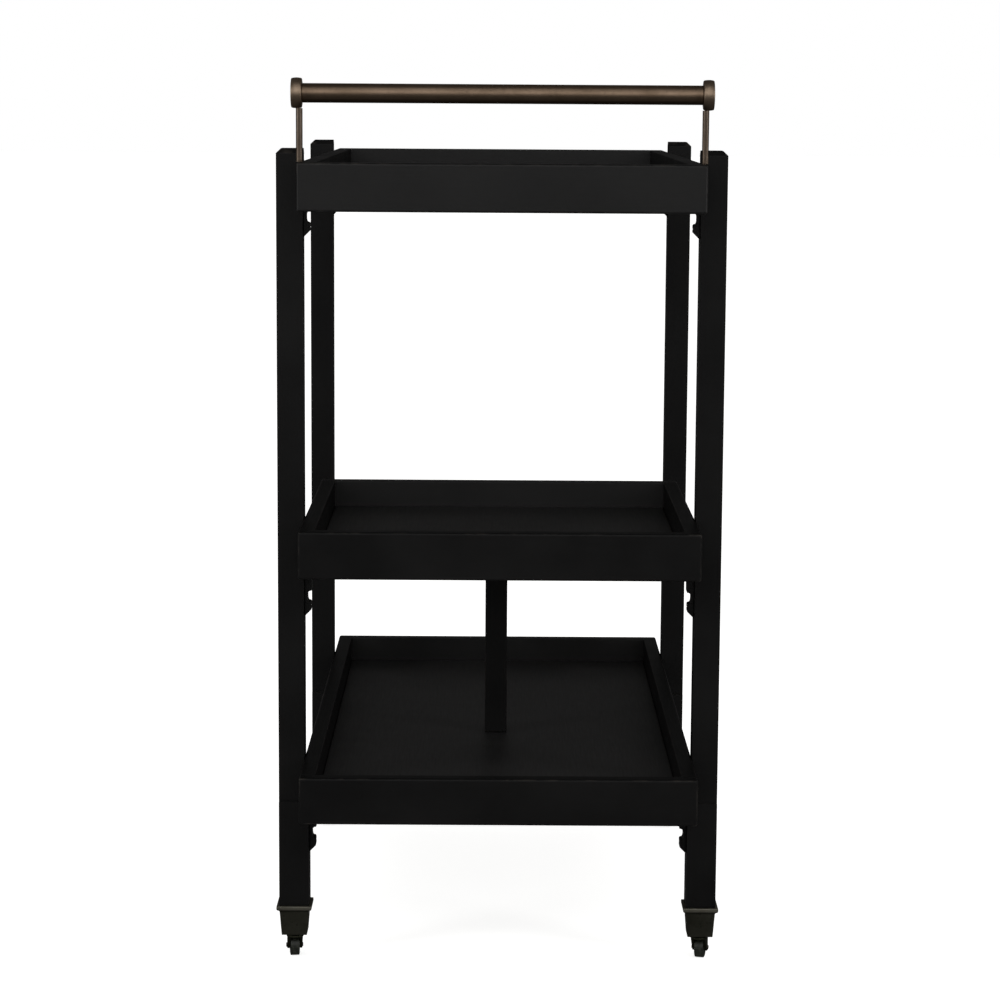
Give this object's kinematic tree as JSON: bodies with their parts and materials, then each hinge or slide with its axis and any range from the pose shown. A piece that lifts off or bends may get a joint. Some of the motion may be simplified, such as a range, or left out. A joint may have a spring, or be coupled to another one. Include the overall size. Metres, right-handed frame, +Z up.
{
  "type": "bar cart on wheels",
  "caption": "Black wooden tiered serving cart: rimmed trays on square legs, a half-length middle tray on a post, a bronze push handle and swivel casters.",
  "frame": {"origin": "on the floor at the centre of the cart's box", "axes": "+Z up, +X across the width, -Y towards the end with the push handle"},
  "size_m": [0.4634, 0.762, 0.9189],
  "materials": {
    "black_painted_wood": "satin black paint",
    "black_moulding": "satin black paint on moulded brackets",
    "antique_bronze": "antique bronze, satin, darker in the recesses",
    "dark_steel": "darkened steel",
    "caster_wheel": "dark brown hard wheel"
  },
  "bodies": {
    "cart": {"top_tray_front": "black_painted_wood", "top_tray_back": "black_painted_wood", "top_tray_left": "black_painted_wood", "top_tray_right": "black_painted_wood", "top_tray_floor": "black_painted_wood", "middle_tray_front": "black_painted_wood", "middle_tray_back": "black_painted_wood", "middle_tray_left": "black_painted_wood", "middle_tray_right": "black_painted_wood", "middle_tray_floor": "black_painted_wood", "bottom_tray_front": "black_painted_wood", "bottom_tray_back": "black_painted_wood", "bottom_tray_left": "black_painted_wood", "bottom_tray_right": "black_painted_wood", "bottom_tray_floor": "black_painted_wood", "leg_front_left": "black_painted_wood", "leg_front_right": "black_painted_wood", "leg_back_left": "black_painted_wood", "leg_back_right": "black_painted_wood", "centre_post": "black_painted_wood", "top_bracket_front_left": "black_moulding", "bottom_bracket_front_left": "black_moulding", "middle_bracket_front_left": "black_moulding", "top_bracket_front_right": "black_moulding", "bottom_bracket_front_right": "black_moulding", "middle_bracket_front_right": "black_moulding", "top_bracket_back_left": "black_moulding", "bottom_bracket_back_left": "black_moulding", "top_bracket_back_right": "black_moulding", "bottom_bracket_back_right": "black_moulding", "handle_tube": "antique_bronze", "handle_cap_left": "antique_bronze", "handle_cap_right": "antique_bronze", "handle_rod_left": "antique_bronze", "handle_rod_right": "antique_bronze", "caster_ferrule_front_left": "antique_bronze", "caster_ferrule_front_right": "antique_bronze", "caster_ferrule_back_left": "antique_bronze", "caster_ferrule_back_right": "antique_bronze", "caster_socket_front_left": "dark_steel", "caster_socket_front_right": "dark_steel", "caster_socket_back_left": "dark_steel", "caster_socket_back_right": "dark_steel"},
    "swivel_front_left": {"caster_fork_front_left": "antique_bronze", "caster_axle_front_left": "dark_steel"},
    "wheel_front_left": {"caster_wheel_front_left": "caster_wheel"},
    "swivel_front_right": {"caster_fork_front_right": "antique_bronze", "caster_axle_front_right": "dark_steel"},
    "wheel_front_right": {"caster_wheel_front_right": "caster_wheel"},
    "swivel_back_left": {"caster_fork_back_left": "antique_bronze", "caster_axle_back_left": "dark_steel"},
    "wheel_back_left": {"caster_wheel_back_left": "caster_wheel"},
    "swivel_back_right": {"caster_fork_back_right": "antique_bronze", "caster_axle_back_right": "dark_steel"},
    "wheel_back_right": {"caster_wheel_back_right": "caster_wheel"}
  },
  "joints": [
    {"name": "caster_swivel_front_left", "type": "hinge", "parent": "cart", "child": "swivel_front_left", "pos_m": [-0.2133, -0.2715, 0.026], "axis": [0, 0, 1], "continuous": true},
    {"name": "wheel_spin_front_left", "type": "hinge", "parent": "swivel_front_left", "child": "wheel_front_left", "pos_m": [-0.21434, -0.26407, 0.011], "axis": [0.9903, 0.1392, 0], "continuous": true},
    {"name": "caster_swivel_front_right", "type": "hinge", "parent": "cart", "child": "swivel_front_right", "pos_m": [0.2133, -0.2715, 0.026], "axis": [0, 0, 1], "continuous": true},
    {"name": "wheel_spin_front_right", "type": "hinge", "parent": "swivel_front_right", "child": "wheel_front_right", "pos_m": [0.21511, -0.26422, 0.011], "axis": [0.9703, -0.2419, 0], "continuous": true},
    {"name": "caster_swivel_back_left", "type": "hinge", "parent": "cart", "child": "swivel_back_left", "pos_m": [-0.2133, 0.2715, 0.026], "axis": [0, 0, 1], "continuous": true},
    {"name": "wheel_spin_back_left", "type": "hinge", "parent": "swivel_back_left", "child": "wheel_back_left", "pos_m": [-0.21226, 0.27893, 0.011], "axis": [0.9903, -0.1392, 0], "continuous": true},
    {"name": "caster_swivel_back_right", "type": "hinge", "parent": "cart", "child": "swivel_back_right", "pos_m": [0.2133, 0.2715, 0.026], "axis": [0, 0, 1], "continuous": true},
    {"name": "wheel_spin_back_right", "type": "hinge", "parent": "swivel_back_right", "child": "wheel_back_right", "pos_m": [0.21265, 0.27897, 0.011], "axis": [0.9962, 0.0872, 0], "continuous": true}
  ]
}
